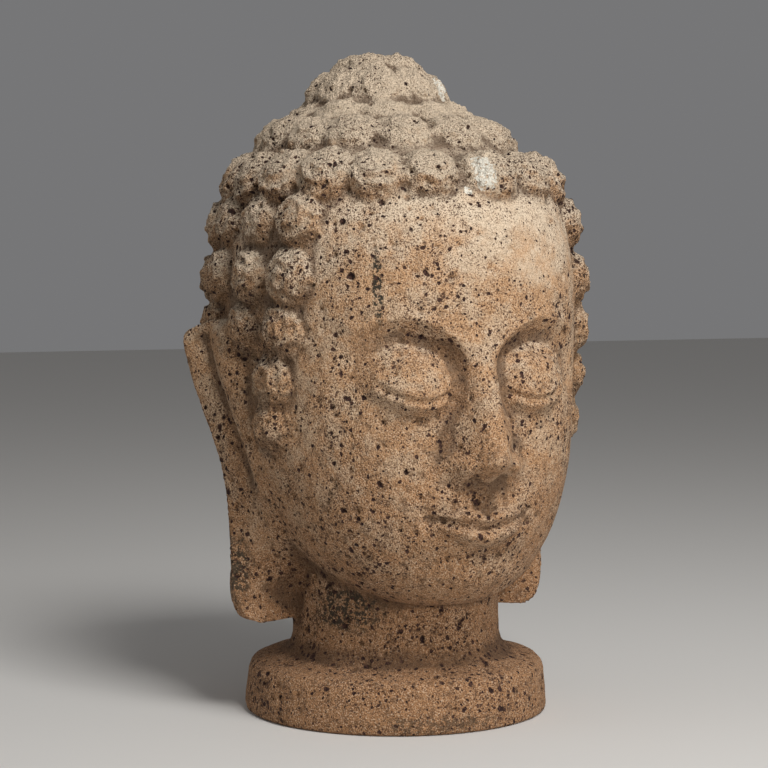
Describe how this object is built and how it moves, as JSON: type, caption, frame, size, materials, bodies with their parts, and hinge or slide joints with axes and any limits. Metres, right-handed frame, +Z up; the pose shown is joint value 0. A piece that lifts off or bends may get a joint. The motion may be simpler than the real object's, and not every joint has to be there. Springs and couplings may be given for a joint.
{
  "type": "carved stone buddha head",
  "caption": "Lava-stone Buddha head with snail-curl hair, crown knot and long ears, carved in one with its neck and low round plinth.",
  "frame": {"origin": "centre of the plinth's flat underside", "axes": "+Z up, the face looks along -Y, +X is the figure's left"},
  "size_m": [0.316, 0.3435, 0.5],
  "materials": {
    "lava_stone": "matt, weathered, pitted volcanic stone"
  },
  "bodies": {
    "root": {"buddha_head": "lava_stone"}
  },
  "joints": []
}
